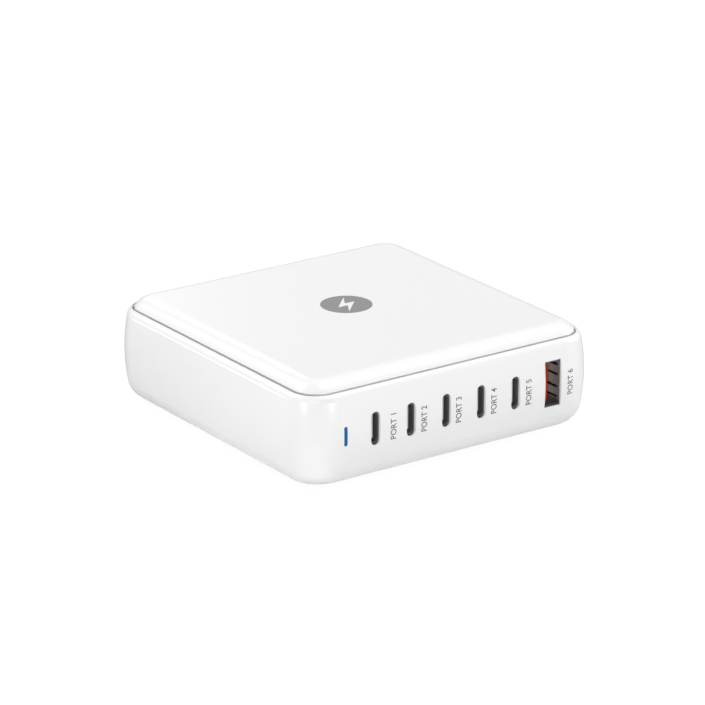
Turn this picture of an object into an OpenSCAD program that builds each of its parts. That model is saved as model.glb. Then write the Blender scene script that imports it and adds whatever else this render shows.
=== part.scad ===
// Desktop charger for phones and tablets, with five USB-C sockets and one USB-A socket.
// Millimetres. +Z is up and the port wall faces -Y.
// The origin is on the surface that the feet stand on, under the middle of the housing.

/* [Housing] */
// Width of the housing along the port wall
body_w = 100; // [98:0.5:112]
// Depth of the housing from the port wall to the rear
body_d = 100; // [98:0.5:112]
// Height from the underside of the housing to the top of the cover
body_h = 29.8; // [29.3:0.1:33]
// Plan radius of the four upright corners
corner_r = 12; // [11.2:0.1:13]
// Radius of the edge between the underside and the walls
base_r = 6.5; // [5:0.1:8]
// Radius of the shoulder between the walls and the seam
shoulder_r = 2.4; // [1.8:0.1:2.8]
// Radius of the slight barrel of the walls, seen in section
barrel_r = 55; // [45:1:90]
// Height above the underside at which the walls bulge most
barrel_z = 14.8; // [13:0.1:16]
// Thickness of the walls where they bulge most
wall = 2.2; // [2:0.1:2.3]
// Thickness of the floor
floor_t = 2.4; // [1.8:0.1:2.8]
// Radius between the floor and the walls, inside
floor_r = 4; // [2.5:0.1:4.5]
// Height of the rim that the cover snaps under
rim_h = 2.2; // [1.8:0.1:2.8]

/* [Top cover] */
// Distance from the widest part of a wall in to the seam
seam_inset = 2.75; // [2.65:0.05:3.2]
// Gap that shows around the cover
cover_gap = 0.7; // [0.4:0.05:0.9]
// Depth of that gap
groove_depth = 1.6; // [1:0.1:1.8]
// Plan radius of the cover's corners
cover_corner_r = 7.6; // [7.2:0.1:8]
// Width of the rounded band along the cover's edge
crown_run = 5; // [4.2:0.1:5.6]
// Height by which that band rises
crown_rise = 2.7; // [2.4:0.05:3.2]
// Height of the upright edge of the cover above the rim
cover_step = 0.15; // [0.05:0.05:0.3]
// Thickness of the cover
cover_t = 2.4; // [2:0.1:2.6]
// Thickness of the skirt under the cover
skirt_t = 1.5; // [1.2:0.1:1.8]
// Length of the skirt below the seam
skirt_l = 3.6; // [3.2:0.1:4.2]
// Clearance between the skirt and the rim
skirt_fit = 0.06; // [0.04:0.01:0.12]
// Length of each catch on the skirt
catch_l = 7; // [5:0.5:10]
// Distance by which a catch reaches under the rim
catch_reach = 0.4; // [0.3:0.05:0.5]
// Height of the ribs under the cover that press on the heat spreader
cover_rib_h = 0.8; // [0.5:0.1:1]

/* [Feet] */
// Diameter of a rubber foot
foot_d = 10; // [8:0.5:12]
// Thickness of a rubber foot
foot_t = 1.6; // [1.4:0.1:2]
// Height by which a foot stands out of its recess
foot_proud = 0.8; // [0.5:0.1:1]
// Distance from a wall to the middle of a foot
foot_inset = 14.5; // [14.5:0.5:20]
// Clearance around a foot in its recess
foot_fit = 0.1; // [0.05:0.05:0.2]

/* [Ports] */
// Height of the line through the ports above the middle of the housing
port_rise = 0.3; // [-0.2:0.05:0.6]
// Thickness of the wall around the ports, where it is pocketed from inside
port_lip = 0.8; // [0.8:0.1:1.2]
// Place of the first USB-C port from the middle of the port wall
usb_c_x = -27.2; // [-28:0.1:-27]
// Distance between two USB-C ports
usb_c_pitch = 11.8; // [11.4:0.05:12.2]
// Place of the USB-A port from the middle of the port wall
usb_a_x = 33.1; // [32.8:0.1:34]
// Width of a USB-C opening in the wall
usb_c_gap_w = 3; // [2.8:0.1:3.4]
// Height of a USB-C opening in the wall
usb_c_gap_h = 9.6; // [9.2:0.1:10]
// Width of the USB-A opening in the wall
usb_a_gap_w = 5.6; // [5.4:0.1:5.8]
// Height of the USB-A opening in the wall
usb_a_gap_h = 13.5; // [13.1:0.1:14]
// Depth of the sockets behind the wall
socket_l = 11.5; // [11.2:0.1:13]
// Clearance between a socket's mouth and the wall
socket_fit = 0.05; // [0.02:0.01:0.1]
// Thickness of the socket shells
shell_t = 0.3; // [0.25:0.01:0.35]
// Inner width of a USB-C shell
usb_c_in_w = 2.56; // [2.5:0.01:2.6]
// Inner height of a USB-C shell
usb_c_in_h = 8.34; // [8.3:0.01:8.4]
// Inner width of the USB-A shell
usb_a_in_w = 5.12; // [5.1:0.01:5.2]
// Inner height of the USB-A shell
usb_a_in_h = 12.5; // [12.4:0.05:12.7]

/* [Light bar] */
// Place of the light bar from the middle of the port wall
light_x = -37; // [-37.6:0.1:-36]
// Width of the light bar
light_w = 1.1; // [0.8:0.1:1.4]
// Height of the light bar
light_h = 5.6; // [4.5:0.1:6.5]
// Height of the light bar's middle below the line through the ports
light_drop = 0.15; // [0:0.05:0.5]
// Clearance around the light pipe in its slot
light_fit = 0.03; // [0.02:0.01:0.06]

/* [Mains inlet] */
// Width of the recess that takes the mains connector
inlet_gap_w = 16.4; // [16:0.1:17]
// Height of that recess
inlet_gap_h = 8.8; // [8.6:0.1:9.2]
// Height of its waist
inlet_waist = 6.6; // [5.8:0.1:7.2]
// Depth of that recess
inlet_gap_l = 13.5; // [13:0.1:14]
// Thickness of the inlet's rim around the recess
inlet_rim = 1.4; // [1.2:0.1:1.8]
// Diameter of a pin
pin_d = 2.4; // [2.3:0.05:2.5]
// Distance between the two pins
pin_pitch = 8.6; // [8.4:0.1:8.8]
// Length of a pin in the recess
pin_l = 10.6; // [10:0.1:11.5]
// Clearance between the inlet and its opening in the rear wall
inlet_fit = 0.1; // [0.05:0.05:0.2]

/* [Boards] */
// Thickness of the boards
board_t = 1.6; // [1.2:0.1:1.8]
// Height of the bosses that carry the main board
boss_h = 3; // [2.6:0.1:3.4]
// Diameter of a boss
boss_d = 6; // [5:0.2:7]
// Diameter of the thread of a board screw
screw_d = 2.2; // [1.8:0.1:2.6]
// Clearance between the edge of the main board and what stands beside it
board_fit = 0.3; // [0.2:0.05:0.5]
// Thickness of the insulating sheet
sheet_t = 0.3; // [0.2:0.05:0.5]
// Thickness of the heat spreader
spreader_t = 1; // [0.8:0.1:1.2]

/* [Hidden] */
$fn = 96;
// Overlap of a cutting shape past the face that it cuts
eps = 0.5;
// Overlap of two shapes that are joined
join = 0.2;

// Heights above the surface that the feet stand on
base_z = foot_proud;
floor_z = base_z + floor_t;
seam_h = body_h - crown_rise - cover_step;
seam_z = base_z + seam_h;
top_z = base_z + body_h;
rim_z = seam_z - rim_h;
skirt_z = seam_z - skirt_l;
under_z = top_z - cover_t;
port_z = base_z + body_h / 2 + port_rise;
light_z = port_z - light_drop;
board_z = floor_z + boss_h;
deck_z = board_z + board_t;
spreader_z = under_z - cover_rib_h - spreader_t;

// Faces of the walls, from the middle
side_x = body_w / 2;
side_y = body_d / 2;
inner_x = side_x - wall;
inner_y = side_y - wall;

// Section of the walls, measured outward from the middle of the corner radius
barrel_u = corner_r - barrel_r;
base_u = barrel_u + sqrt(pow(barrel_r - base_r, 2) - pow(barrel_z - base_r, 2));
base_a = atan2(base_r - barrel_z, base_u - barrel_u);
shoulder_v = seam_h - shoulder_r;
shoulder_u = barrel_u + sqrt(pow(barrel_r - shoulder_r, 2) - pow(shoulder_v - barrel_z, 2));
shoulder_a = atan2(shoulder_v - barrel_z, shoulder_u - barrel_u);
cavity_r = corner_r - wall;

// Section of the cover, measured outward from the middle of its corner radius
cover_w = body_w - 2 * (seam_inset + cover_gap);
cover_d = body_d - 2 * (seam_inset + cover_gap);
crown_r = (pow(crown_run, 2) + pow(crown_rise, 2)) / (2 * crown_rise);
crown_u = cover_corner_r - crown_run;
crown_v = top_z - crown_r;
skirt_u = cover_corner_r + cover_gap - skirt_fit;
skirt_in_u = cover_corner_r - skirt_t;
shelf_w = 2;
shelf_drop = 0.5;
pocket_u = skirt_in_u - shelf_w;
shelf_z = seam_z - shelf_drop;
skirt_inset = seam_inset + cover_gap + skirt_t;

// Port wall and what stands behind it
lip_y = -side_y + port_lip;
mouth_y = lip_y + socket_fit;
port_board_y = mouth_y + socket_l;
board_y0 = port_board_y + board_t;
usb_c_out_w = usb_c_in_w + 2 * shell_t;
usb_c_out_h = usb_c_in_h + 2 * shell_t;
usb_a_out_w = usb_a_in_w + 2 * shell_t;
usb_a_out_h = usb_a_in_h + 2 * shell_t;
flange_lap = 0.9;
pocket_margin = 1.2;
pocket_air = 0.7;
pocket_x0 = light_x - light_w / 2 - flange_lap - pocket_margin;
pocket_x1 = usb_a_x + usb_a_out_w / 2 + pocket_margin;
pocket_h = usb_a_out_h + 2 * pocket_air;

// Main board, between the stop ribs of the housing
rib_lap = 0.2;
rib_inset = skirt_inset - rib_lap;
board_x = side_x - rib_inset - board_fit;
board_y1 = side_y - rib_inset - board_fit;
boss_inset = 5;
boss_x = board_x - boss_inset;
boss_y0 = board_y0 + boss_inset;
boss_y1 = board_y1 - boss_inset;
screw_play = 0.3;
screw_hole_d = screw_d + screw_play;
pilot_sink = 0.6;
pilot_l = boss_h + pilot_sink;
head_d = 1.9 * screw_d;
head_h = 0.65 * screw_d;

// Mains inlet
inlet_lap_x = 2;
inlet_lap_z = 0.8;
inlet_back_t = 2.5;
inlet_corner_r = 3;
inlet_sink = 0.3;
inlet_nose_w = inlet_gap_w + 2 * inlet_rim;
inlet_nose_h = inlet_gap_h + 2 * inlet_rim;
inlet_block_w = inlet_nose_w + 2 * inlet_lap_x;
inlet_block_h = inlet_nose_h + 2 * inlet_lap_z;
inlet_z = deck_z + inlet_block_h / 2;
inlet_floor_y = side_y - inlet_gap_l;
inlet_back_y = inlet_floor_y - inlet_back_t;
pin_step = 0.4;
pin_tail = 2;
tail_y = inlet_back_y - pin_tail;

// Parts on the main board. They share the room under the heat spreader and the width of the
// board, and stand in rows with one gap between neighbours.
part_gap = 3;
lead_w = 0.8;
clear_h = spreader_z - deck_z;
pad_t = 1;
can_air = 2.6;
can_d = clear_h - can_air;
can_l = 26;
can_x = (part_gap + can_d) / 2;
core_h = clear_h - pad_t;
core_w = board_x - 2.5 * part_gap - can_d;
core_x = board_x - part_gap - core_w / 2;
low_air = 4.6;
low_h = clear_h - low_air;

// Rear row, beside the inlet
edge_gap = 1.5;
fuse_r = 3.2;
fuse_x = -inlet_block_w / 2 - part_gap / 3 - fuse_r;
fuse_y = board_y1 - edge_gap - fuse_r;
film_d = 8.5;
film_x0 = -boss_x + head_d / 2 + part_gap;
film_x1 = fuse_x - fuse_r - part_gap;
film_y = board_y1 - edge_gap - film_d / 2;
bridge_t = 3.6;
bridge_l = 15;
bridge_x = inlet_block_w / 2 + part_gap / 3 + bridge_t / 2;
bridge_y = board_y1 - edge_gap - bridge_l / 2;
choke_x0 = bridge_x + bridge_t / 2 + part_gap;
choke_x1 = board_x - boss_inset;
choke_r = (choke_x1 - choke_x0) / 2;
choke_y = boss_y1 - head_d / 2 - choke_r;

// Middle row
pfc_d = 27;
pfc_y = film_y - film_d / 2 - 2 * part_gap - pfc_d / 2;
tr_d = 28;
tr_y = choke_y - choke_r - part_gap / 3 - tr_d / 2;
can_y = bridge_y - bridge_l / 2 - part_gap - can_l;

// Front row, behind the port board
coil_w = 10;
front_y = board_y0 + part_gap + coil_w / 2;
bracket_inset = 14;
bracket_x = -board_x + bracket_inset;
bracket_y = front_y + coil_w / 2 + 2 * part_gap;

// Outline of a rectangle with round corners, centred
module round_rect(w, h, r) {
  square([w, h - 2 * r], center = true);
  square([w - 2 * r, h], center = true);
  for (x = [-1, 1], y = [-1, 1])
    translate([x * (w / 2 - r), y * (h / 2 - r)]) circle(r);
}

// Outline of an upright slot with full round ends, centred
module slot(w, h) {
  square([w, h - w], center = true);
  for (y = [-1, 1])
    translate([0, y * (h - w) / 2]) circle(d = w);
}

// Extrudes an outline, drawn as seen from the front, between two depths
module along_y(y0, y1) {
  translate([0, y1, 0]) rotate([90, 0, 0]) linear_extrude(y1 - y0) children();
}

// Cuts a slice from a circle between two angles
module slice(u, v, r, a0, a1) {
  reach = 2 * r;
  intersection() {
    translate([u, v]) circle(r);
    polygon([[u, v],
             [u + reach * cos(a0), v + reach * sin(a0)],
             [u + reach * cos((a0 + a1) / 2), v + reach * sin((a0 + a1) / 2)],
             [u + reach * cos(a1), v + reach * sin(a1)]]);
  }
}

// Sweeps a section round a rectangle and fills the middle between two heights.
// The section starts at the middle of the corner radius.
module swept_slab(w, d, r, z0, z1) {
  half_w = w / 2 - r;
  half_d = d / 2 - r;
  translate([-half_w, -half_d, z0]) cube([2 * half_w, 2 * half_d, z1 - z0]);
  for (k = [0:3]) {
    out = k % 2 == 0 ? half_w : half_d;
    along = k % 2 == 0 ? half_d : half_w;
    rotate(90 * k) translate([out, along, 0]) {
      rotate([90, 0, 0]) linear_extrude(2 * along) children();
      rotate_extrude(angle = 90) children();
    }
  }
}

// Section of the housing: round base edge, barrelled wall, round shoulder
module housing_section() {
  polygon([[0, 0], [base_u, 0], [base_u, base_r], [shoulder_u, shoulder_v],
           [shoulder_u, seam_h], [0, seam_h]]);
  slice(base_u, base_r, base_r, -90, base_a);
  slice(shoulder_u, shoulder_v, shoulder_r, shoulder_a, 90);
  intersection() {
    translate([barrel_u, barrel_z]) circle(barrel_r);
    polygon([[base_u, base_r],
             [base_u + 2 * base_r * cos(base_a), base_r + 2 * base_r * sin(base_a)],
             [shoulder_u + 2 * shoulder_r * cos(shoulder_a),
              shoulder_v + 2 * shoulder_r * sin(shoulder_a)],
             [shoulder_u, shoulder_v]]);
  }
}

// Section of the room inside, with a round edge along the floor
module cavity_section() {
  polygon([[0, floor_z], [cavity_r - floor_r, floor_z], [cavity_r - floor_r, floor_z + floor_r],
           [cavity_r, floor_z + floor_r], [cavity_r, rim_z], [0, rim_z]]);
  slice(cavity_r - floor_r, floor_z + floor_r, floor_r, -90, 0);
}

module housing_block() {
  translate([0, 0, base_z]) swept_slab(body_w, body_d, corner_r, 0, seam_h) housing_section();
}

// Ribs on the walls that the cover's skirt stands on. They are spared when the room is cut out.
rib_w = 1.6;
side_rib_gap = 22;
rear_rib_x = 30;
front_rib_x = side_x - corner_r + rib_w;
module stop_ribs() {
  rib_h = skirt_z - base_z;
  for (s = [-1, 1], y = [-side_rib_gap, 0, side_rib_gap])
    translate([s * (side_x - rib_inset / 2), y, base_z + rib_h / 2])
      cube([rib_inset, rib_w, rib_h], center = true);
  for (x = [-rear_rib_x, rear_rib_x])
    translate([x, side_y - rib_inset / 2, base_z + rib_h / 2])
      cube([rib_w, rib_inset, rib_h], center = true);
  for (s = [-1, 1])
    translate([s * front_rib_x, -side_y + rib_inset / 2, base_z + rib_h / 2])
      cube([rib_w, rib_inset, rib_h], center = true);
}

// Bosses that the main board is screwed to
module bosses() {
  for (x = [-boss_x, boss_x], y = [boss_y0, boss_y1])
    translate([x, y, base_z]) cylinder(d = boss_d, h = board_z - base_z);
}

// Forked blocks on the floor that the port board stands in
fork_l = 4;
fork_seat = 1;
fork_cheek = 1.8;
fork_fit = 0.05;
fork_x = board_x - 3 * fork_l;
module forks() {
  fork_w = board_t + 2 * fork_cheek;
  for (s = [-1, 1])
    translate([s * fork_x - fork_l / 2, port_board_y + board_t / 2 - fork_w / 2, base_z])
      cube([fork_l, fork_w, board_z - board_fit - base_z]);
}

module housing() {
  color("white") difference() {
    housing_block();
    // Room inside, which spares the ribs, the bosses and the forks
    difference() {
      swept_slab(2 * inner_x, 2 * inner_y, cavity_r, floor_z, rim_z) cavity_section();
      stop_ribs();
      bosses();
      forks();
    }
    // Opening for the cover
    translate([0, 0, rim_z - eps])
      linear_extrude(rim_h + 2 * eps)
        round_rect(body_w - 2 * seam_inset, body_d - 2 * seam_inset, cover_corner_r + cover_gap);
    // Pocket that thins the port wall
    translate([pocket_x0, lip_y, port_z - pocket_h / 2])
      cube([pocket_x1 - pocket_x0, wall, pocket_h]);
    along_y(-side_y - eps, lip_y + eps) {
      for (k = [0:4])
        translate([usb_c_x + k * usb_c_pitch, port_z]) slot(usb_c_gap_w, usb_c_gap_h);
      translate([usb_a_x, port_z]) square([usb_a_gap_w, usb_a_gap_h], center = true);
      translate([light_x, light_z]) slot(light_w, light_h);
    }
    // Opening for the inlet
    along_y(inner_y - eps, side_y + eps)
      translate([0, inlet_z])
        round_rect(inlet_nose_w + 2 * inlet_fit, inlet_nose_h + 2 * inlet_fit,
                   inlet_corner_r + inlet_fit);
    // Recesses for the feet
    for (x = [-1, 1], y = [-1, 1])
      translate([x * (side_x - foot_inset), y * (side_y - foot_inset), base_z - eps])
        cylinder(d = foot_d + 2 * foot_fit, h = foot_t - foot_proud + eps);
    // Pilot holes in the bosses
    for (x = [-boss_x, boss_x], y = [boss_y0, boss_y1])
      translate([x, y, board_z - pilot_l]) cylinder(d = screw_d, h = pilot_l + eps);
    // Slots for the port board
    for (s = [-1, 1])
      translate([s * fork_x - fork_l / 2 - eps, port_board_y - fork_fit, floor_z + fork_seat])
        cube([fork_l + 2 * eps, board_t + 2 * fork_fit, boss_h]);
  }
}

// Section of the cover: crowned edge, groove and skirt
module cover_section() {
  polygon([[0, under_z], [crown_u, under_z], [crown_u, top_z], [0, top_z]]);
  intersection() {
    translate([crown_u, crown_v]) circle(crown_r);
    polygon([[crown_u, under_z], [pocket_u, under_z], [pocket_u, shelf_z],
             [cover_corner_r, shelf_z], [cover_corner_r, top_z + eps], [crown_u, top_z + eps]]);
  }
  polygon([[skirt_in_u, shelf_z], [cover_corner_r, shelf_z],
           [cover_corner_r, seam_z - groove_depth], [skirt_u, seam_z - groove_depth],
           [skirt_u, skirt_z], [skirt_in_u, skirt_z]]);
}

// Catches on the skirt that snap under the rim
catch_side_y = 11;
catch_front_x = 22;
catch_play = 0.05;
module catches() {
  catch_h = rim_z - catch_play - skirt_z;
  catch_t = catch_reach + skirt_fit + join;
  for (s = [-1, 1], y = [-catch_side_y, catch_side_y])
    translate([s * (side_x - seam_inset + catch_reach - catch_t / 2), y, skirt_z + catch_h / 2])
      cube([catch_t, catch_l, catch_h], center = true);
  for (s = [-1, 1], x = [-catch_front_x, catch_front_x])
    translate([x, s * (side_y - seam_inset + catch_reach - catch_t / 2), skirt_z + catch_h / 2])
      cube([catch_l, catch_t, catch_h], center = true);
}

cover_rib_w = 1.2;
cover_rib_l = 60;
cover_rib_gap = 20;
module top_cover() {
  color("white") union() {
    swept_slab(cover_w, cover_d, cover_corner_r, under_z, top_z) cover_section();
    catches();
    // Ribs that press on the heat spreader
    for (i = [-1:1])
      translate([i * cover_rib_gap - cover_rib_w / 2, -cover_rib_l / 2, under_z - cover_rib_h])
        cube([cover_rib_w, cover_rib_l, cover_rib_h + join]);
  }
}

foot_bevel = 0.4;
module foot(k) {
  sx = k % 2 == 1 ? -1 : 1;
  sy = k <= 2 ? -1 : 1;
  color("lightgray")
    translate([sx * (side_x - foot_inset), sy * (side_y - foot_inset), 0])
      rotate_extrude()
        polygon([[0, 0], [foot_d / 2 - foot_bevel, 0], [foot_d / 2, foot_bevel],
                 [foot_d / 2, foot_t], [0, foot_t]]);
}

// Light pipe: a bar in the slot, flush with the barrelled wall, and a flange behind it
led_t = 0.8;
flange_t = 1;
module light_pipe() {
  color([0.13, 0.4, 0.61]) intersection() {
    union() {
      along_y(-side_y - eps, lip_y + join)
        translate([light_x, light_z]) slot(light_w - 2 * light_fit, light_h - 2 * light_fit);
      along_y(lip_y, lip_y + flange_t)
        translate([light_x, light_z])
          round_rect(light_w + 2 * flange_lap, light_h + 2 * flange_lap, flange_t / 2);
      along_y(lip_y + flange_t - join, port_board_y - led_t)
        translate([light_x, light_z]) slot(light_w - 2 * light_fit, light_h - 2 * light_fit);
    }
    housing_block();
  }
}

module status_led() {
  color("ghostwhite")
    along_y(port_board_y - led_t, port_board_y)
      translate([light_x, light_z]) round_rect(2 * led_t, 4 * led_t, led_t / 4);
}

port_board_air = 0.6;
port_board_side = 3;
port_board_r = 1;
module port_board() {
  z0 = floor_z + fork_seat;
  z1 = spreader_z - port_board_air;
  color("seagreen")
    along_y(port_board_y, port_board_y + board_t)
      translate([0, (z0 + z1) / 2])
        round_rect(2 * (board_x - port_board_side), z1 - z0, port_board_r);
}

// USB-C socket: steel shell, insulator with its tongue, two rows of contacts
tongue_front = 1.2;
tongue_root = 6.4;
tongue_t = 0.7;
tongue_h = 6.69;
tongue_r = 0.2;
part_fit = 0.02;
contact_pitch = 0.5;
contact_w = 0.25;
contact_t = 0.06;
contact_inset = 0.7;
module usb_c_shell(k) {
  color("dimgray") translate([usb_c_x + (k - 1) * usb_c_pitch, 0, port_z])
    along_y(mouth_y, port_board_y)
      difference() {
        slot(usb_c_out_w, usb_c_out_h);
        slot(usb_c_in_w, usb_c_in_h);
      }
}

module usb_c_tongue(k) {
  color([0.12, 0.12, 0.13]) translate([usb_c_x + (k - 1) * usb_c_pitch, 0, port_z]) {
    along_y(mouth_y + tongue_root, port_board_y)
      slot(usb_c_in_w - 2 * part_fit, usb_c_in_h - 2 * part_fit);
    along_y(mouth_y + tongue_front, mouth_y + tongue_root + join)
      round_rect(tongue_t, tongue_h, tongue_r);
  }
}

module usb_c_contacts(k) {
  color("gold") translate([usb_c_x + (k - 1) * usb_c_pitch, 0, port_z])
    along_y(mouth_y + tongue_front + contact_inset, mouth_y + tongue_root - part_fit)
      for (s = [-1, 1], i = [0:11])
        translate([s * (tongue_t + contact_t) / 2, (i - 5.5) * contact_pitch])
          square([contact_t, contact_w], center = true);
}

// USB-A socket: folded shell with four sprung tabs, insulator with its tongue, four contacts
tab_gap = 0.5;
tab_w = 2.4;
tab_l = 6;
tab_y = 1.2;
tab_z = 3.25;
tab_lean = 3;
usb_a_fold_r = 0.3;
module usb_a_shell() {
  color("silver") translate([usb_a_x, 0, port_z]) union() {
    difference() {
      along_y(mouth_y, port_board_y) difference() {
        round_rect(usb_a_out_w, usb_a_out_h, usb_a_fold_r + shell_t);
        round_rect(usb_a_in_w, usb_a_in_h, usb_a_fold_r);
      }
      for (z = [-tab_z, tab_z])
        translate([-usb_a_out_w, mouth_y + tab_y, z - tab_w / 2 - tab_gap])
          cube([2 * usb_a_out_w, tab_l + tab_gap, tab_w + 2 * tab_gap]);
    }
    for (s = [0, 1], z = [-tab_z, tab_z])
      mirror([s, 0, 0])
        translate([usb_a_in_w / 2, mouth_y + tab_y - join, z - tab_w / 2])
          rotate(tab_lean) cube([shell_t, tab_l, tab_w]);
  }
}

a_tongue_x = -1.9;
a_tongue_t = 1.84;
a_tongue_h = 11.1;
a_tongue_r = 0.25;
a_tongue_front = 1.9;
a_tongue_root = 8.6;
module usb_a_tongue() {
  color([0.87, 0.36, 0.09]) translate([usb_a_x, 0, port_z]) {
    along_y(mouth_y + a_tongue_root, port_board_y)
      round_rect(usb_a_in_w - 2 * part_fit, usb_a_in_h - 2 * part_fit, usb_a_fold_r - part_fit);
    along_y(mouth_y + a_tongue_front, mouth_y + a_tongue_root + join)
      translate([a_tongue_x + a_tongue_t / 2, 0]) round_rect(a_tongue_t, a_tongue_h, a_tongue_r);
  }
}

a_contact_out = 3.5;
a_contact_in = 1;
a_contact_w = 1;
a_contact_t = 0.15;
module usb_a_contacts() {
  color("gold") translate([usb_a_x, 0, port_z])
    along_y(mouth_y + a_tongue_front + contact_inset, mouth_y + a_tongue_root)
      for (s = [-1, 1], z = [a_contact_in, a_contact_out])
        translate([a_tongue_x + a_tongue_t, s * z - a_contact_w / 2])
          square([a_contact_t, a_contact_w]);
}

// Recess of the mains inlet: two rounds with a waist
module inlet_recess() {
  round_x = (inlet_gap_w - inlet_gap_h) / 2;
  square([2 * round_x, inlet_waist], center = true);
  for (s = [-1, 1])
    translate([s * round_x, 0]) circle(d = inlet_gap_h);
}

module ac_inlet() {
  color([0.1, 0.1, 0.1]) difference() {
    translate([0, 0, inlet_z]) union() {
      along_y(inner_y - join, side_y - inlet_sink)
        round_rect(inlet_nose_w, inlet_nose_h, inlet_corner_r);
      along_y(inlet_back_y, inner_y) round_rect(inlet_block_w, inlet_block_h, inlet_lap_z);
    }
    translate([0, 0, inlet_z]) {
      along_y(inlet_floor_y, side_y + eps) inlet_recess();
      for (s = [-1, 1])
        along_y(inlet_back_y - eps, inlet_floor_y + eps)
          translate([s * pin_pitch / 2, 0]) circle(d = pin_d + pin_step);
    }
  }
}

// Pin with a round tip in the recess, a thicker root in the body and a flat tail on the board
module inlet_pin(k) {
  s = k == 1 ? -1 : 1;
  tip_y = inlet_floor_y + pin_l - pin_d / 2;
  color("gainsboro") translate([s * pin_pitch / 2, 0, 0]) union() {
    translate([0, inlet_floor_y - join, inlet_z]) rotate([-90, 0, 0])
      cylinder(d = pin_d, h = tip_y - inlet_floor_y + join);
    translate([0, tail_y, inlet_z]) rotate([-90, 0, 0])
      cylinder(d = pin_d + pin_step, h = inlet_floor_y - tail_y);
    translate([0, tip_y, inlet_z]) sphere(d = pin_d);
    translate([-pin_d / 2, tail_y, deck_z]) cube([pin_d, pin_tail / 2, inlet_z - deck_z]);
  }
}

board_corner_r = 2;
module main_board() {
  color("seagreen") difference() {
    translate([0, (board_y0 + board_y1) / 2, board_z])
      linear_extrude(board_t) round_rect(2 * board_x, board_y1 - board_y0, board_corner_r);
    for (x = [-boss_x, boss_x], y = [boss_y0, boss_y1])
      translate([x, y, board_z - eps]) cylinder(d = screw_hole_d, h = board_t + 2 * eps);
  }
}

// Pan-head screws with a crossed recess; the thread is left plain
module board_screws() {
  thread_l = board_t + boss_h - pilot_sink;
  cross_l = 2 * head_d / 3;
  cross_w = head_d / 8;
  color("silver")
    for (x = [-boss_x, boss_x], y = [boss_y0, boss_y1])
      translate([x, y, deck_z]) difference() {
        union() {
          cylinder(d = head_d, h = head_h);
          translate([0, 0, -thread_l]) cylinder(d = screw_d - 2 * part_fit, h = thread_l + join);
        }
        for (a = [0, 90])
          rotate(a) translate([-cross_l / 2, -cross_w / 2, head_h / 2])
            cube([cross_l, cross_w, head_h]);
      }
}

// Thin sheet on the floor, between the forks and the rear wall, with its corners cut for the bosses
sheet_gap = 0.5;
module insulating_sheet() {
  sheet_x = inner_x - floor_r - sheet_gap;
  sheet_y0 = port_board_y + board_t + fork_cheek + sheet_gap;
  sheet_y1 = inner_y - floor_r - sheet_gap;
  notch_x = boss_x - boss_d / 2 - sheet_gap;
  notch_y0 = boss_y0 + boss_d / 2 + sheet_gap;
  notch_y1 = boss_y1 - boss_d / 2 - sheet_gap;
  color([0.85, 0.9, 0.95]) translate([0, 0, floor_z]) linear_extrude(sheet_t)
    polygon([[-sheet_x, notch_y0], [-notch_x, notch_y0], [-notch_x, sheet_y0],
             [notch_x, sheet_y0], [notch_x, notch_y0], [sheet_x, notch_y0],
             [sheet_x, notch_y1], [notch_x, notch_y1], [notch_x, sheet_y1],
             [-notch_x, sheet_y1], [-notch_x, notch_y1], [-sheet_x, notch_y1]]);
}

// Plate in the pocket of the cover, held between its ribs and the heat pads
spreader_fit = 0.5;
module heat_spreader() {
  pocket_cut = 2 * (cover_corner_r - pocket_u + spreader_fit);
  color("silver") translate([0, 0, spreader_z]) linear_extrude(spreader_t)
    round_rect(cover_w - pocket_cut, cover_d - pocket_cut, pocket_u - spreader_fit);
}

// Wound parts: two core halves round a bobbin
core_plate = 3.6;
core_leg = 3;
winding_room = 6;
post_d = core_w - 2 * winding_room;
bobbin_wall = 0.9;
bobbin_fit = 0.1;
flange_air = 0.5;
winding_air = 0.4;
window_h = core_h - 2 * core_plate;
bore_d = post_d + 2 * bobbin_fit;
flange_d = core_w - 2 * flange_air;

// One half of a core, with its plate down
module core_half(depth) {
  difference() {
    translate([-core_w / 2, -depth / 2, 0]) cube([core_w, depth, core_h / 2]);
    translate([0, 0, core_plate]) cylinder(d = depth - 2 * core_leg, h = core_h);
  }
  translate([0, 0, core_plate - join]) cylinder(d = post_d, h = core_h / 2 - core_plate + join);
}

module core_lower(x, y, depth) {
  color([0.25, 0.25, 0.27]) translate([x, y, deck_z]) core_half(depth);
}

module core_upper(x, y, depth) {
  color([0.25, 0.25, 0.27])
    translate([x, y, deck_z + core_h]) rotate([180, 0, 0]) core_half(depth);
}

module bobbin(x, y, depth) {
  flange_r = min(flange_d, depth - 2 * core_leg - 2 * flange_air) / 2;
  hub_r = bore_d / 2 + bobbin_wall;
  bobbin_h = window_h - bobbin_fit;
  color([0.15, 0.15, 0.16])
    translate([x, y, deck_z + core_plate])
      rotate_extrude()
        polygon([[bore_d / 2, 0], [flange_r, 0], [flange_r, bobbin_wall],
                 [hub_r, bobbin_wall], [hub_r, bobbin_h - bobbin_wall],
                 [flange_r, bobbin_h - bobbin_wall], [flange_r, bobbin_h],
                 [bore_d / 2, bobbin_h]]);
}

module winding(x, y, depth) {
  flange_r = min(flange_d, depth - 2 * core_leg - 2 * flange_air) / 2;
  hub_r = bore_d / 2 + bobbin_wall;
  color([0.85, 0.65, 0.2])
    translate([x, y, deck_z + core_plate + bobbin_wall])
      rotate_extrude()
        translate([hub_r, 0])
          square([flange_r - winding_air - hub_r, window_h - bobbin_fit - 2 * bobbin_wall]);
}

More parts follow.
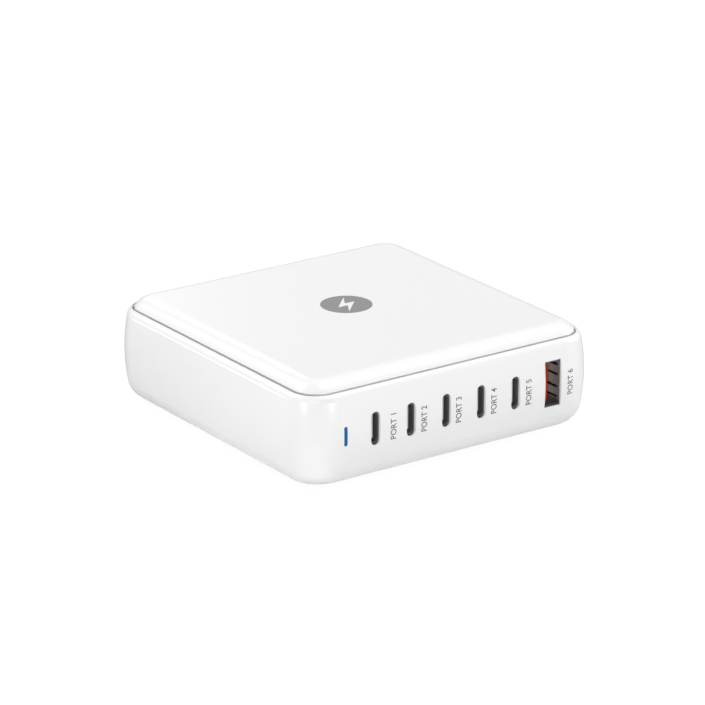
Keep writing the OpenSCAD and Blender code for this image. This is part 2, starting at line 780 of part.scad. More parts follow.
pad_inset = 1;
module thermal_pad(k) {
  x = k == 1 ? core_x : -core_x;
  y = k == 1 ? tr_y : pfc_y;
  depth = k == 1 ? tr_d : pfc_d;
  color([0.45, 0.6, 0.7]) translate([x, y, deck_z + core_h])
    linear_extrude(pad_t) square([core_w - 2 * pad_inset, depth - 2 * pad_inset], center = true);
}

fuse_h = 7.6;
fuse_edge = 0.6;
module fuse() {
  color([0.25, 0.2, 0.18]) translate([fuse_x, fuse_y, deck_z])
    rotate_extrude()
      polygon([[0, 0], [fuse_r, 0], [fuse_r, fuse_h - fuse_edge], [fuse_r - fuse_edge, fuse_h],
               [0, fuse_h]]);
}

film_edge = 0.8;
module x_capacitor() {
  color([0.9, 0.8, 0.25]) translate([(film_x0 + film_x1) / 2, film_y, deck_z])
    linear_extrude(low_h) round_rect(film_x1 - film_x0, film_d, film_edge);
}

// Ring choke: a ferrite ring and two windings that wrap a third of it each
wire_t = 1.3;
ring_out = choke_r - wire_t;
ring_w = 3.6;
ring_h = 7;
module ring_section(grow) {
  translate([ring_out - ring_w - grow, wire_t - grow])
    square([ring_w + 2 * grow, ring_h + 2 * grow]);
}

module choke_core() {
  color([0.3, 0.4, 0.3]) translate([choke_x0 + choke_r, choke_y, deck_z])
    rotate_extrude() ring_section(0);
}

module choke_winding(k) {
  color([0.8, 0.45, 0.2]) translate([choke_x0 + choke_r, choke_y, deck_z])
    rotate(k == 1 ? 30 : 210) rotate_extrude(angle = 120)
      difference() {
        ring_section(wire_t);
        ring_section(0);
      }
}

// Rectifier on edge, with four leads down to the board
bridge_foot = 2;
bridge_pitch = 3.8;
module bridge_rectifier() {
  color([0.12, 0.12, 0.12]) translate([bridge_x, bridge_y, deck_z]) union() {
    translate([-bridge_t / 2, -bridge_l / 2, bridge_foot])
      cube([bridge_t, bridge_l, low_h - bridge_foot]);
    for (i = [0:3])
      translate([-lead_w / 2, (i - 1.5) * bridge_pitch - lead_w / 2, 0])
        cube([lead_w, lead_w, bridge_foot + join]);
  }
}

// Electrolytic capacitor that lies on the board, with its crimp groove and leads
can_edge = 0.6;
crimp = 0.7;
crimp_y = 2.9;
can_lead = 2;
can_pitch = 7.5;
module bulk_capacitor(k) {
  can_r = can_d / 2;
  color([0.2, 0.22, 0.3]) translate([k == 1 ? -can_x : can_x, can_y, deck_z + can_r]) union() {
    rotate([-90, 0, 0]) rotate_extrude()
      polygon([[0, 0], [can_r - can_edge, 0], [can_r, can_edge], [can_r, crimp_y - crimp],
               [can_r - crimp, crimp_y], [can_r, crimp_y + crimp], [can_r, can_l - can_edge],
               [can_r - can_edge, can_l], [0, can_l]]);
    for (s = [-1, 1]) {
      translate([s * can_pitch / 2, -can_lead, 0]) rotate([-90, 0, 0])
        cylinder(d = lead_w, h = can_lead + join);
      translate([s * can_pitch / 2, -can_lead, -can_r])
        cylinder(d = lead_w, h = can_r + lead_w / 2);
    }
  }
}

disc_r = 4;
disc_t = 3.4;
disc_foot = 1.5;
disc_inset = 8;
disc_pitch = 5;
module y_capacitor() {
  color([0.3, 0.45, 0.8]) translate([-board_x + disc_inset, bracket_y, deck_z]) union() {
    translate([-disc_t / 2, 0, disc_r + disc_foot]) rotate([0, 90, 0])
      cylinder(r = disc_r, h = disc_t);
    for (s = [-1, 1])
      translate([0, s * disc_pitch / 2, 0]) cylinder(d = lead_w, h = 2 * disc_foot);
  }
}

// Bent aluminium plate that cools the power transistor
bracket_t = 1.5;
bracket_w = 14;
bracket_l = 6;
bracket_air = 3.6;
bracket_h = clear_h - bracket_air;
module heat_bracket() {
  color("silver") translate([bracket_x, bracket_y, deck_z]) union() {
    cube([bracket_w, bracket_t, bracket_h]);
    translate([0, 0, bracket_h - bracket_t]) cube([bracket_w, bracket_l, bracket_t]);
  }
}

// Transistor flat against the bracket: moulded body and three legs
case_w = 10;
case_t = 4.4;
case_h = 9;
case_foot = 3;
leg_pitch = 2.54;
leg_t = 0.6;
module power_transistor() {
  color([0.12, 0.12, 0.12])
    translate([bracket_x + bracket_w / 2, bracket_y - case_t, deck_z]) union() {
      translate([-case_w / 2, 0, case_foot]) cube([case_w, case_t, case_h]);
      for (i = [-1:1])
        translate([i * leg_pitch - lead_w / 2, (case_t - leg_t) / 2, 0])
          cube([lead_w, leg_t, case_foot + join]);
    }
}

coil_h = 6;
coil_edge = 1.5;
module output_inductor(k) {
  color([0.3, 0.3, 0.32]) translate([usb_c_x + (2 * k - 1) * usb_c_pitch, front_y, deck_z])
    linear_extrude(coil_h) round_rect(coil_w, coil_w, coil_edge);
}

polymer_r = 4;
polymer_h = 10;
polymer_crimp = 0.4;
polymer_z = 2;
module output_capacitor(k) {
  color("gainsboro") translate([usb_c_x + 2 * k * usb_c_pitch, front_y, deck_z])
    rotate_extrude()
      polygon([[0, 0], [polymer_r, 0], [polymer_r, polymer_z - polymer_crimp],
               [polymer_r - polymer_crimp, polymer_z], [polymer_r, polymer_z + polymer_crimp],
               [polymer_r, polymer_h - polymer_crimp], [polymer_r - polymer_crimp, polymer_h],
               [0, polymer_h]]);
}

housing();
top_cover();
foot(1);  // foot_1
foot(2);  // foot_2
foot(3);  // foot_3
foot(4);  // foot_4
light_pipe();
status_led();
port_board();
usb_c_shell(1);  // usb_c_shell_1
usb_c_shell(2);  // usb_c_shell_2
usb_c_shell(3);  // usb_c_shell_3
usb_c_shell(4);  // usb_c_shell_4
usb_c_shell(5);  // usb_c_shell_5
usb_c_tongue(1);  // usb_c_tongue_1
usb_c_tongue(2);  // usb_c_tongue_2
usb_c_tongue(3);  // usb_c_tongue_3
usb_c_tongue(4);  // usb_c_tongue_4
usb_c_tongue(5);  // usb_c_tongue_5
usb_c_contacts(1);  // usb_c_contacts_1
usb_c_contacts(2);  // usb_c_contacts_2
usb_c_contacts(3);  // usb_c_contacts_3
usb_c_contacts(4);  // usb_c_contacts_4
usb_c_contacts(5);  // usb_c_contacts_5
usb_a_shell();
usb_a_tongue();
usb_a_contacts();
ac_inlet();
inlet_pin(1);  // inlet_pin_1
inlet_pin(2);  // inlet_pin_2
main_board();
board_screws();
insulating_sheet();
heat_spreader();
thermal_pad(1);  // thermal_pad_1
thermal_pad(2);  // thermal_pad_2
fuse();
x_capacitor();
choke_core();
choke_winding(1);  // choke_winding_1
choke_winding(2);  // choke_winding_2
bridge_rectifier();
core_lower(-core_x, pfc_y, pfc_d);  // pfc_core_lower
core_upper(-core_x, pfc_y, pfc_d);  // pfc_core_upper
bobbin(-core_x, pfc_y, pfc_d);  // pfc_bobbin
winding(-core_x, pfc_y, pfc_d);  // pfc_winding
bulk_capacitor(1);  // bulk_capacitor_1
bulk_capacitor(2);  // bulk_capacitor_2
core_lower(core_x, tr_y, tr_d);  // transformer_core_lower
core_upper(core_x, tr_y, tr_d);  // transformer_core_upper
bobbin(core_x, tr_y, tr_d);  // transformer_bobbin
winding(core_x, tr_y, tr_d);  // transformer_winding
y_capacitor();
heat_bracket();
power_transistor();
output_inductor(1);  // output_inductor_1
output_inductor(2);  // output_inductor_2
output_capacitor(1);  // output_capacitor_1
output_capacitor(2);  // output_capacitor_2
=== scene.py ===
import math

import bmesh
import bpy
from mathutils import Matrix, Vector


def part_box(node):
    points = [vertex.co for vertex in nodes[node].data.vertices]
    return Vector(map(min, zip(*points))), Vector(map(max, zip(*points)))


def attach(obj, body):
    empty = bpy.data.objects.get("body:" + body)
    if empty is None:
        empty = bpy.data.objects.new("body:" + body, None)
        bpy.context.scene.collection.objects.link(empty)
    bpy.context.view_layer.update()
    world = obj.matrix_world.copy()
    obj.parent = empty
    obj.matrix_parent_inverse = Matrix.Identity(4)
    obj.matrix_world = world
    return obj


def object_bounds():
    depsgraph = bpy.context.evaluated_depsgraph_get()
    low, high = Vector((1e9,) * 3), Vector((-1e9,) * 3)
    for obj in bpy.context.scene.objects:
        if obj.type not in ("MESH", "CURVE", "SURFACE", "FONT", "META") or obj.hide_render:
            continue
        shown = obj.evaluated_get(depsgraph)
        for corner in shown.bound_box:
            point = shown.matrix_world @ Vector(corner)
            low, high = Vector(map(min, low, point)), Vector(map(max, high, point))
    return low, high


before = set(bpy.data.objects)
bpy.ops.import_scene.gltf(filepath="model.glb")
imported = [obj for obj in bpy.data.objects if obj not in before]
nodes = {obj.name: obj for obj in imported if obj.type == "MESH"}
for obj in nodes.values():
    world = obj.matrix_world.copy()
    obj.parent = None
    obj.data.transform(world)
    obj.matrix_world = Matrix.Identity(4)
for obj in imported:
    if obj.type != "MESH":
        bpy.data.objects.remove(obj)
cad_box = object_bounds()

# Housing and top cover. Two mouldings in white polycarbonate with a fine satin grain from the tool.
# The cover clips into the rim of the housing and leaves an even groove all round.


class Value:
    """A socket in a shader. Plain arithmetic on it adds the Math nodes."""

    def __init__(self, shading, socket):
        self.shading = shading
        self.socket = socket

    def _math(self, operation, *values):
        return self.shading.node("Math", {"operation": operation}, dict(enumerate(values)))

    def __add__(self, other):
        return self._math("ADD", self, other)

    def __radd__(self, other):
        return self._math("ADD", other, self)

    def __sub__(self, other):
        return self._math("SUBTRACT", self, other)

    def __rsub__(self, other):
        return self._math("SUBTRACT", other, self)

    def __mul__(self, other):
        return self._math("MULTIPLY", self, other)

    def __rmul__(self, other):
        return self._math("MULTIPLY", other, self)

    def __abs__(self):
        return self._math("ABSOLUTE", self)

    def __gt__(self, other):
        return self._math("GREATER_THAN", self, other)

    def or_more(self, other):
        """The larger of the two."""
        return self._math("MAXIMUM", self, other)

    def ramp(self, start, end, least=0):
        """The least value at start, 1 at end, and an even slope between them."""
        sockets = {"Value": self, "From Min": start, "From Max": end, "To Min": least}
        return self.shading.node("MapRange", {}, sockets)


class Shading:
    """The shader nodes of a material or of the surround. node() adds one of any type."""

    def __init__(self, owner):
        owner.use_nodes = True
        self.tree = owner.node_tree

    def put(self, socket, value):
        if isinstance(value, Value):
            self.tree.links.new(value.socket, socket)
        else:
            socket.default_value = value

    def node(self, kind, settings, sockets, output=0):
        made = self.tree.nodes.new("ShaderNode" + kind)
        for key, value in settings.items():
            setattr(made, key, value)
        for key, value in sockets.items():
            self.put(made.inputs[key], value)
        return Value(self, made.outputs[output])


class Finish(Shading):
    """A procedural material. set() gives its shader the inputs."""

    def __init__(self, name):
        self.material = bpy.data.materials.new(name)
        super().__init__(self.material)
        self.place = self.node("TexCoord", {}, {}, "Object")

    def set(self, **sockets):
        shader = self.tree.nodes["Principled BSDF"]
        for key, value in sockets.items():
            self.put(shader.inputs[key.replace("_", " ")], value)

    def along(self, axis):
        """How far a point lies along the X, Y or Z axis of the part."""
        return self.node("SeparateXYZ", {}, {0: self.place}, axis)

    def noise(self, size, detail=2):
        """Noise from 0 to 1 whose grains are about that size in metres."""
        return self.node("TexNoise", {}, {"Vector": self.place, "Scale": 1 / size, "Detail": detail})

    def blend(self, mask, first, second):
        """The first colour where the mask is 0 and the second where it is 1."""
        first, second = (tone if isinstance(tone, Value) else (*tone, 1) for tone in (first, second))
        return self.node("Mix", {"data_type": "RGBA"}, {0: mask, 6: first, 7: second}, 2)

    def bump(self, height, depth):
        """The normal of a relief that is depth metres high where the height is 1."""
        return self.node("Bump", {}, {"Height": height, "Distance": depth, "Strength": 1})


def dress(finish, *names):
    """The CAD nodes of those names take the finish."""
    for name in names:
        for slot in nodes[name].material_slots:
            slot.material = finish.material


SHELL_LIGHT, SHELL_DULL = (0.87, 0.87, 0.87), (0.86, 0.86, 0.865)


def moulded(name):
    """White plastic with the grain of the tool. Its colour comes after."""
    white = Finish(name)
    grain = white.noise(0.0003)
    white.set(Roughness=0.26 + 0.06 * grain, Normal=white.bump(grain, 0.00001))
    return white


# Little light reaches the pocket in the port wall round the shell of the USB-A socket, so the white
# plastic there is painted near black as shade.
POCKET_PAINTED_SHADE = (0.02, 0.02, 0.02)
POCKET_ROOM = 0.001
POCKET_START = 0.00065

socket_low, socket_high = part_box("usb_a_shell")
pocket_low = (socket_low.x - POCKET_ROOM, socket_low.y + POCKET_START, socket_low.z - POCKET_ROOM)
pocket_high = (socket_high.x + POCKET_ROOM, socket_high.y + POCKET_ROOM, socket_high.z + POCKET_ROOM)

shell_white = moulded("shell_white")
reaches = [
    abs(shell_white.along(axis) - (low + high) / 2) * (2 / (high - low))
    for axis, low, high in zip("XYZ", pocket_low, pocket_high)
]
outside_painted_pocket = reaches[0].or_more(reaches[1]).or_more(reaches[2]) > 1
plastic = shell_white.blend(shell_white.noise(0.03), SHELL_DULL, SHELL_LIGHT)
shell_white.set(Base_Color=shell_white.blend(outside_painted_pocket, POCKET_PAINTED_SHADE, plastic))
dress(shell_white, "housing")

# The side of the cover down in the groove lies in deep shade and is painted grey as shade. Light from the
# right reaches that end of it, so the painted shade fades out there.
# The painted shade ends just above the rim of the housing.
GROOVE_SHADE = (0.58, 0.58, 0.585)
SHADE_PROUD = 0.000137
SHADE_SOFT = 0.00004
LIT_FROM, LIT_TO = 0.00415, 0.00215

cover_white = moulded("cover_white")
over_rim = cover_white.along("Z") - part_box("housing")[1].z
groove_painted_shade = over_rim.ramp(SHADE_PROUD + SHADE_SOFT, SHADE_PROUD - SHADE_SOFT)
from_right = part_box("top_cover")[1].x - cover_white.along("X")
right_end_unshaded = from_right.ramp(LIT_FROM, LIT_TO)
cover_white.set(Base_Color=cover_white.blend(groove_painted_shade - groove_painted_shade * right_end_unshaded, SHELL_LIGHT, GROOVE_SHADE))
dress(cover_white, "top_cover")

# Printed marks. Thin grey pad print: a plain port number beside each socket, and a charging bolt in a disc
# on the cover. The ink lies on the plastic and follows the curve of the wall.
INK_PROUD = 0.00003
INK_SUNK = 0.00002


def pad_print(name, dark, light):
    """Ink whose two tones of grey lie close together, in patches."""
    ink = Finish(name)
    patch = ink.noise(0.0005)
    ink.set(Base_Color=ink.blend(patch, (dark,) * 3, (light,) * 3), Roughness=0.5 + 0.1 * patch)
    return ink


def printed(name, curve, ink, lay):
    """The curve as a closed sheet of ink. lay places a point (along, up) of its outer or inner side."""
    curve.extrude = 1
    holder = bpy.data.objects.new(name, curve)
    bpy.context.scene.collection.objects.link(holder)
    bpy.context.view_layer.update()
    sheet = bpy.data.meshes.new_from_object(holder.evaluated_get(bpy.context.evaluated_depsgraph_get()))
    bpy.data.objects.remove(holder)
    bpy.data.curves.remove(curve)
    low_x, high_x = min(v.co.x for v in sheet.vertices), max(v.co.x for v in sheet.vertices)
    low_y, high_y = min(v.co.y for v in sheet.vertices), max(v.co.y for v in sheet.vertices)
    for v in sheet.vertices:
        along = (v.co.x - low_x) / (high_x - low_x) - 0.5
        up = (v.co.y - low_y) / (high_y - low_y) - 0.5
        v.co = lay(along, up, v.co.z > 0)
    sheet.materials.clear()
    sheet.materials.append(ink.material)
    piece = bpy.data.objects.new(name, sheet)
    bpy.context.scene.collection.objects.link(piece)
    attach(piece, "root")


label_ink = pad_print("label_ink", 0.12, 0.145)
mark_ink = pad_print("mark_ink", 0.24, 0.27)

# Each label is turned to read upwards. Its middle lies to the right of the middle of its socket,
# by the step given here, and a little lower.
LABEL_STEPS = {
    "usb_c_shell_1": 0.00587,
    "usb_c_shell_2": 0.00428,
    "usb_c_shell_3": 0.00412,
    "usb_c_shell_4": 0.00428,
    "usb_c_shell_5": 0.0045,
    "usb_a_shell": 0.00592,
}
LABEL_DROP = 0.00062
LABEL_LENGTH = 0.0074
LABEL_HEIGHT = 0.0019
LABEL_BOLDER = 0.008
BEFORE_WALL_Y = -0.1

for number, (socket, step) in enumerate(LABEL_STEPS.items(), 1):
    middle = sum(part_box(socket), Vector()) / 2
    lettering = bpy.data.curves.new(f"port_label_{number}", "FONT")
    lettering.body = f"PORT {number}"
    lettering.resolution_u = 4
    lettering.offset = LABEL_BOLDER

    def on_wall(along, up, outer):
        x = middle.x + step - up * LABEL_HEIGHT
        z = middle.z - LABEL_DROP + along * LABEL_LENGTH
        wall_y = nodes["housing"].ray_cast((x, BEFORE_WALL_Y, z), (0, 1, 0))[1].y
        return (x, wall_y + (-INK_PROUD if outer else INK_SUNK), z)

    printed(f"port_label_{number}", lettering, label_ink, on_wall)

# The disc has the bolt as a hole, given in shares of the disc's radius.
MARK_RADIUS = 0.0074
MARK_PLACE = (0.0003, 0.0034)
DISC_CORNERS = 96
BOLT = ((0.38, 0.74), (-0.46, -0.12), (-0.02, -0.12), (-0.38, -0.74), (0.46, 0.12), (0.02, 0.12))
COVER_TOP = cad_box[1][2]

disc = bpy.data.curves.new("cover_mark", "CURVE")
disc.dimensions = "2D"
disc.fill_mode = "BOTH"
turns = [math.tau * k / DISC_CORNERS for k in range(DISC_CORNERS)]
for outline in ([(math.cos(turn), math.sin(turn)) for turn in turns], BOLT):
    spline = disc.splines.new("POLY")
    spline.points.add(len(outline) - 1)
    for point, (x, y) in zip(spline.points, outline):
        point.co = (x, y, 0, 1)
    spline.use_cyclic_u = True


def on_cover(along, up, outer):
    level = COVER_TOP + (INK_PROUD if outer else -INK_SUNK)
    return (MARK_PLACE[0] + 2 * along * MARK_RADIUS, MARK_PLACE[1] + 2 * up * MARK_RADIUS, level)


printed("cover_mark", disc, mark_ink, on_cover)

# Rubber feet. Four grey discs die-cut from rubber sheet, with a broken lower edge.
# Each is glued into a round recess in the underside.
foot_rubber = Finish("foot_rubber")
speck = foot_rubber.noise(0.0006)
foot_rubber.set(
    Base_Color=foot_rubber.blend(speck, (0.30, 0.30, 0.31), (0.36, 0.36, 0.37)),
    Roughness=0.75 + 0.1 * speck,
    Normal=foot_rubber.bump(speck, 0.00002),
)
dress(foot_rubber, "foot_1", "foot_2", "foot_3", "foot_4")

# Light bar. A clear pipe carries the light of a small lamp on the port board to the wall.
# The lit end shows as an even blue bar, flush with the wall.
light_blue = Finish("light_blue")
haze = light_blue.noise(0.0008)
light_blue.set(
    Base_Color=light_blue.blend(haze, (0.004, 0.048, 0.135), (0.005, 0.056, 0.15)),
    Roughness=0.35 + 0.1 * haze,
    Emission_Color=light_blue.blend(haze, (0.005, 0.060, 0.165), (0.006, 0.066, 0.18)),
    Emission_Strength=1,
    Specular_IOR_Level=0.1,
)
dress(light_blue, "light_pipe")

lamp_body = Finish("lamp_body")
glow = lamp_body.noise(0.0007)
lamp_body.set(
    Base_Color=lamp_body.blend(glow, (0.75, 0.75, 0.66), (0.82, 0.82, 0.74)),
    Roughness=0.4 + 0.1 * glow,
)
dress(lamp_body, "status_led")

# USB-C sockets. Deep-drawn steel shells, plated dark, round a light grey insulator with its tongue.
# Two rows of gold-flashed contacts lie on the tongue.
USB_C_SOCKETS = range(1, 6)

socket_dark = Finish("socket_dark")
draw = socket_dark.noise(0.0008)
socket_dark.set(
    Base_Color=socket_dark.blend(draw, (0.12, 0.12, 0.122), (0.155, 0.155, 0.157)),
    Roughness=0.45 + 0.15 * draw,
    Metallic=0.2,
    Normal=socket_dark.bump(draw, 0.00001),
)
dress(socket_dark, *[f"usb_c_shell_{k}" for k in USB_C_SOCKETS])

insulator = Finish("insulator")
grit = insulator.noise(0.0004)
insulator.set(
    Base_Color=insulator.blend(grit, (0.62, 0.62, 0.622), (0.68, 0.68, 0.682)),
    Roughness=0.5 + 0.15 * grit,
)
dress(insulator, *[f"usb_c_tongue_{k}" for k in USB_C_SOCKETS])

gold = Finish("gold")
wear = gold.noise(0.0005)
gold.set(
    Base_Color=gold.blend(wear, (0.78, 0.52, 0.18), (0.83, 0.58, 0.24)),
    Roughness=0.22 + 0.12 * wear,
    Metallic=1,
)
dress(gold, "usb_a_contacts", *[f"usb_c_contacts_{k}" for k in USB_C_SOCKETS])

# USB-A socket. A folded steel shell in nickel plate, whose four sprung tabs grip the plug.
# Its orange tongue carries four contacts.
# The plate is dark grey at the mouth and light grey further in.
NICKEL_AT_MOUTH, NICKEL_INSIDE = (0.16, 0.145, 0.14), (0.78, 0.74, 0.72)
NICKEL_PAINTED_SHADE = (0.01, 0.01, 0.01)
AT_MOUTH, INSIDE = 0.00015, 0.00515

# The slots that free the tabs lie on both sides of each tab and look into the dark, so they and their
# edges are painted near black as shade.
# They end behind a whole lip at the mouth, where no shade is painted.
TAB_MIDDLE = 0.00325
TAB_SLOT = 0.00145
SLOT_HALF, SLOT_CLEAR = 0.00028, 0.0004
LIP_BACK, LIP_FRONT = 0.00085, 0.00055

# The lower end of the shell lies in shade and is painted darker as shade.
SHADED_TO, LIT_ABOVE = 0.00075, 0.00195
SHADED_SHARE = 0.36

nickel = Finish("nickel")
rolled = nickel.noise(0.0006)
depth = nickel.along("Y") - socket_low.y
height = nickel.along("Z") - socket_low.z
from_slot = height - (socket_high.z - socket_low.z) / 2
for reach in (TAB_MIDDLE, TAB_SLOT, 0):
    from_slot = abs(from_slot) - reach
clear_of_slot_shade = from_slot.ramp(SLOT_HALF, SLOT_CLEAR).or_more(depth.ramp(LIP_BACK, LIP_FRONT))
plate = nickel.blend(depth.ramp(AT_MOUTH, INSIDE), NICKEL_AT_MOUTH, NICKEL_INSIDE)
nickel.set(
    Base_Color=nickel.blend(clear_of_slot_shade * height.ramp(SHADED_TO, LIT_ABOVE, SHADED_SHARE), NICKEL_PAINTED_SHADE, plate),
    Roughness=0.45 + 0.15 * rolled,
    Metallic=0.25,
    Normal=nickel.bump(rolled, 0.00001),
)
dress(nickel, "usb_a_shell")

tongue_orange = Finish("tongue_orange")
flow = tongue_orange.noise(0.0009)
tongue_orange.set(
    Base_Color=tongue_orange.blend(flow, (0.39, 0.032, 0.001), (0.44, 0.042, 0.002)),
    Roughness=0.5 + 0.1 * flow,
    Specular_IOR_Level=0.1,
)
dress(tongue_orange, "usb_a_tongue")

# Mains inlet. A black moulding pushed in through the rear wall, with two nickel-plated pins
# in a recess with a waist.
inlet_black = Finish("inlet_black")
mould = inlet_black.noise(0.0004)
inlet_black.set(
    Base_Color=inlet_black.blend(mould, (0.016, 0.016, 0.017), (0.022, 0.022, 0.023)),
    Roughness=0.42 + 0.12 * mould,
    Normal=inlet_black.bump(mould, 0.00001),
)
dress(inlet_black, "ac_inlet")

pin_plate = Finish("pin_plate")
turned = pin_plate.noise(0.0007)
pin_plate.set(
    Base_Color=pin_plate.blend(turned, (0.66, 0.65, 0.63), (0.72, 0.71, 0.69)),
    Roughness=0.16 + 0.1 * turned,
    Metallic=1,
)
dress(pin_plate, "inlet_pin_1", "inlet_pin_2")

# Boards. Glass-fibre laminate under green solder mask. The port board stands in forked blocks,
# and four screws hold the main board to bosses in the housing.
WEAVE_SCALE = 900

solder_mask = Finish("solder_mask")
weave = solder_mask.node("TexBrick", {}, {"Vector": solder_mask.place, "Scale": WEAVE_SCALE}, "Fac")
mottle = solder_mask.noise(0.004)
solder_mask.set(
    Base_Color=solder_mask.blend(mottle, (0.012, 0.11, 0.05), (0.016, 0.14, 0.065)),
    Roughness=0.3 + 0.08 * mottle,
    Normal=solder_mask.bump(weave, 0.00001),
)
dress(solder_mask, "port_board", "main_board")

zinc = Finish("zinc")
passivated = zinc.noise(0.0009)
zinc.set(
    Base_Color=zinc.blend(passivated, (0.50, 0.50, 0.51), (0.58, 0.57, 0.56)),
    Roughness=0.3 + 0.15 * passivated,
    Metallic=1,
)
dress(zinc, "board_screws")

# Insulating film, heat spreader, heat pads and bracket. A thin sheet lies under the main board,
# and soft pads carry the heat of the wound parts up to an aluminium plate under the cover.
film = Finish("film")
ripple = film.noise(0.01)
film.set(
    Base_Color=film.blend(ripple, (0.62, 0.66, 0.70), (0.68, 0.71, 0.74)),
    Roughness=0.25 + 0.1 * ripple,
    Normal=film.bump(ripple, 0.0001),
)
dress(film, "insulating_sheet")

BRUSH_ALONG, BRUSH_ACROSS = 60, 4000

aluminium = Finish("aluminium")
brush = {"Vector": aluminium.place, "Scale": (BRUSH_ALONG, BRUSH_ACROSS, BRUSH_ACROSS)}
stretched = aluminium.node("Mapping", {}, brush)
brushed = aluminium.node("TexNoise", {}, {"Vector": stretched, "Scale": 1, "Detail": 3})
aluminium.set(
    Base_Color=aluminium.blend(brushed, (0.56, 0.57, 0.58), (0.66, 0.66, 0.67)),
    Roughness=0.28 + 0.2 * brushed,
    Metallic=1,
    Normal=aluminium.bump(brushed, 0.000004),
)
dress(aluminium, "heat_spreader", "heat_bracket")

silicone = Finish("silicone")
crumb = silicone.noise(0.0008)
silicone.set(
    Base_Color=silicone.blend(crumb, (0.17, 0.30, 0.42), (0.20, 0.34, 0.46)),
    Roughness=0.7 + 0.15 * crumb,
    Normal=silicone.bump(crumb, 0.00004),
)
dress(silicone, "thermal_pad_1", "thermal_pad_2")

# Wound parts. Sintered ferrite cores clamp a moulded bobbin with its winding: varnished copper
# on the correction choke and on the ring, yellow tape over the transformer's.
ferrite = Finish("ferrite")
sinter = ferrite.noise(0.0005, 4)
ferrite.set(
    Base_Color=ferrite.blend(sinter, (0.025, 0.025, 0.027), (0.04, 0.04, 0.042)),
    Roughness=0.55 + 0.2 * sinter,
    Normal=ferrite.bump(sinter, 0.00003),
)
dress(
    ferrite, "choke_core", "pfc_core_lower", "pfc_core_upper", "transformer_core_lower",
    "transformer_core_upper", "output_inductor_1", "output_inductor_2",
)

bobbin_black = Finish("bobbin_black")
shot = bobbin_black.noise(0.0006)
bobbin_black.set(
    Base_Color=bobbin_black.blend(shot, (0.014, 0.014, 0.015), (0.02, 0.02, 0.021)),
    Roughness=0.45 + 0.12 * shot,
)
dress(bobbin_black, "pfc_bobbin", "transformer_bobbin")

WIRE_SCALE = 320

copper = Finish("copper")
wound = {"Vector": copper.place, "Scale": WIRE_SCALE, "Distortion": 0.3}
wire = copper.node("TexWave", {"bands_direction": "Z"}, wound, "Fac")
copper.set(
    Base_Color=copper.blend(wire, (0.25, 0.07, 0.02), (0.62, 0.24, 0.08)),
    Roughness=0.35 - 0.1 * wire,
    Metallic=0.8,
    Normal=copper.bump(wire, 0.0002),
)
dress(copper, "pfc_winding", "choke_winding_1", "choke_winding_2")

tape = Finish("tape")
lap = tape.noise(0.002)
tape.set(
    Base_Color=tape.blend(lap, (0.66, 0.46, 0.05), (0.74, 0.54, 0.08)),
    Roughness=0.3 + 0.1 * lap,
    Normal=tape.bump(lap, 0.00004),
)
dress(tape, "transformer_winding")

# Canned and moulded parts of the main board, soldered down by their leads: fuse, rectifier,
# transistor, film and ceramic capacitors, sleeved and bare aluminium cans.


def cased(name, dark, light, rough, *members, metal=0):
    """The members take a smooth casing of a slightly uneven colour."""
    casing = Finish(name)
    uneven = casing.noise(0.0009)
    casing.set(
        Base_Color=casing.blend(uneven, dark, light),
        Roughness=rough + 0.12 * uneven,
        Metallic=metal,
        Normal=casing.bump(uneven, 0.00001),
    )
    dress(casing, *members)


cased("fuse_brown", (0.035, 0.024, 0.02), (0.05, 0.035, 0.03), 0.45, "fuse")
cased("film_yellow", (0.60, 0.42, 0.03), (0.68, 0.48, 0.05), 0.4, "x_capacitor")
cased(
    "epoxy_black", (0.012, 0.012, 0.012), (0.018, 0.018, 0.018), 0.55,
    "bridge_rectifier", "power_transistor",
)
cased(
    "sleeve_blue", (0.010, 0.014, 0.035), (0.014, 0.019, 0.045), 0.3,
    "bulk_capacitor_1", "bulk_capacitor_2",
)
cased("lacquer_blue", (0.02, 0.09, 0.36), (0.03, 0.12, 0.42), 0.35, "y_capacitor")
cased(
    "can_aluminium", (0.66, 0.66, 0.67), (0.74, 0.74, 0.75), 0.25,
    "output_capacitor_1", "output_capacitor_2", metal=1,
)

# Floor. A plain pale surface that shows as white and keeps the soft shadow of the housing.
# Behind the housing it looks dark in reflections, as a black card there would.
# The camera sees an even white, and a share of lit paper in it brings in the shadow.
FLOOR_HALF = 6
FLOOR_WHITE = 1.07
SHADOW_SHARE = 0.12
FLOOR_LIT, FLOOR_BOUNCE = (0.9, 0.9, 0.9, 1), (0.65, 0.65, 0.65, 1)
CARD_LEVEL = 0.1
CARD_WAY = (0.573, 0.82, 0)
CARD_EDGE = 0.03

floor_mesh = bpy.data.meshes.new("floor")
grid = bmesh.new()
bmesh.ops.create_grid(grid, x_segments=4, y_segments=4, size=FLOOR_HALF)
grid.to_mesh(floor_mesh)
grid.free()
floor = bpy.data.objects.new("floor", floor_mesh)
bpy.context.scene.collection.objects.link(floor)

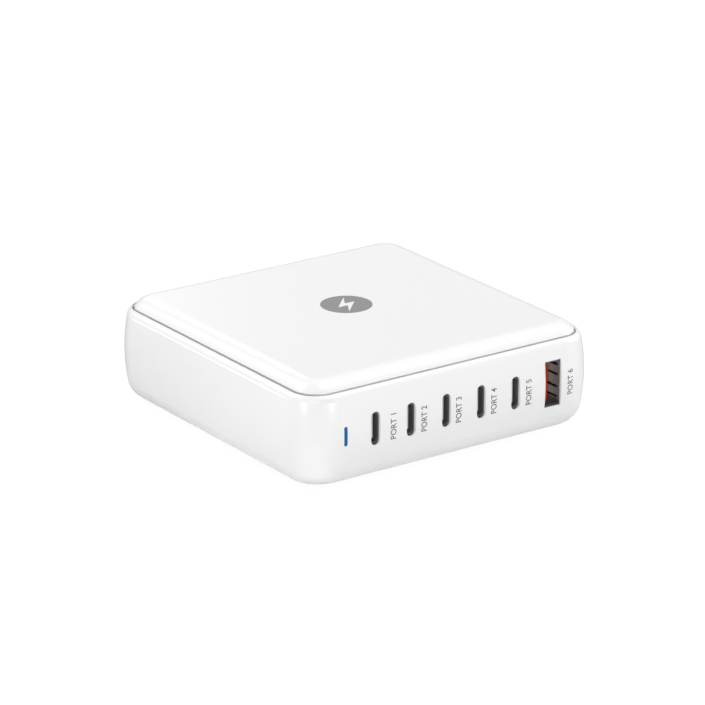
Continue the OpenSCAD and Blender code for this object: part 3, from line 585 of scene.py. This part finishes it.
paper = Finish("paper")
camera_ray, glossy_ray, clear_ray = [
    paper.node("LightPath", {}, {}, f"Is {kind} Ray") for kind in ("Camera", "Glossy", "Transmission")
]
seen = camera_ray + glossy_ray + clear_ray
back = paper.node("VectorMath", {"operation": "DOT_PRODUCT"}, {0: paper.place, 1: CARD_WAY}, "Value")
white = paper.node("Emission", {}, {"Color": (1, 1, 1, 1), "Strength": FLOOR_WHITE})
lit = paper.node("BsdfDiffuse", {}, {"Color": FLOOR_LIT})
bounce = paper.node("BsdfDiffuse", {}, {"Color": FLOOR_BOUNCE})
card = paper.node("Emission", {}, {"Color": (1, 1, 1, 1), "Strength": CARD_LEVEL})
shown = paper.node("MixShader", {}, {0: SHADOW_SHARE, 1: white, 2: lit})
carded = paper.node("MixShader", {}, {0: back.ramp(-CARD_EDGE, CARD_EDGE) * glossy_ray, 1: shown, 2: card})
surface = paper.node("MixShader", {}, {0: seen, 1: bounce, 2: carded})
paper.put(paper.tree.nodes["Material Output"].inputs["Surface"], surface)
floor_mesh.materials.append(paper.material)

# Studio. Soft square lamps and low strips stand round the object, in a faint even surround
# that the camera sees as white.
SURROUND_LEVEL = 0.13
LAMP_AWAY = 1.5
LAMP_SIDE = 0.42
STRIP_HEIGHT = 0.085

world = bpy.data.worlds.new("surround")
bpy.context.scene.world = world
surround = Shading(world)
direct = surround.node("LightPath", {}, {}, "Is Camera Ray")
background = surround.tree.nodes["Background"]
surround.put(background.inputs["Color"], (1, 1, 1, 1))
surround.put(background.inputs["Strength"], SURROUND_LEVEL + (1 - SURROUND_LEVEL) * direct)


def softbox(name, azimuth, elevation, power, width=LAMP_SIDE, height=LAMP_SIDE):
    """A rectangular lamp that faces the object. Azimuth 0 is in front of the port wall."""
    lamp = bpy.data.lights.new(name, "AREA")
    lamp.shape = "RECTANGLE"
    lamp.size, lamp.size_y = width, height
    lamp.energy = power
    holder = bpy.data.objects.new(name, lamp)
    turn, rise = math.radians(azimuth), math.radians(elevation)
    holder.location = (
        LAMP_AWAY * math.sin(turn) * math.cos(rise),
        -LAMP_AWAY * math.cos(turn) * math.cos(rise),
        LAMP_AWAY * math.sin(rise),
    )
    holder.rotation_euler = (math.pi / 2 - rise, 0, turn)
    bpy.context.scene.collection.objects.link(holder)


softbox("front_light", -40, 25, 5.2)
softbox("front_strip", 3, 1.7, 4.2, width=0.36, height=STRIP_HEIGHT)
softbox("left_light", -70, 4, 6.2, width=0.36, height=0.26)
softbox("left_rear_strip", -140, 1.7, 1.7, height=STRIP_HEIGHT)
softbox("left_rear_high_light", -150, 50, 12.0)
softbox("rear_light", 160, 25, 1.4)
softbox("right_light", 80, 25, 13.0)
softbox("right_high_light", 60, 70, 6.5)

# Camera. A long lens 1.1 m away, off the left end of the port wall. It looks down about 20 degrees
# at the middle of the charger.
EYE_PLACE = (-0.595243, -0.851842, 0.395092)
EYE_DOWN = 19.981595
EYE_RIGHT = 34.946976

camera = bpy.data.cameras.new("camera")
camera.sensor_width = 36
camera.lens = 200
camera.clip_start = 0.05
camera.clip_end = 30
eye = bpy.data.objects.new("camera", camera)
eye.location = EYE_PLACE
eye.rotation_euler = (math.radians(90 - EYE_DOWN), 0, math.radians(-EYE_RIGHT))
bpy.context.scene.collection.objects.link(eye)
bpy.context.scene.camera = eye
bpy.context.scene.view_settings.view_transform = "Standard"
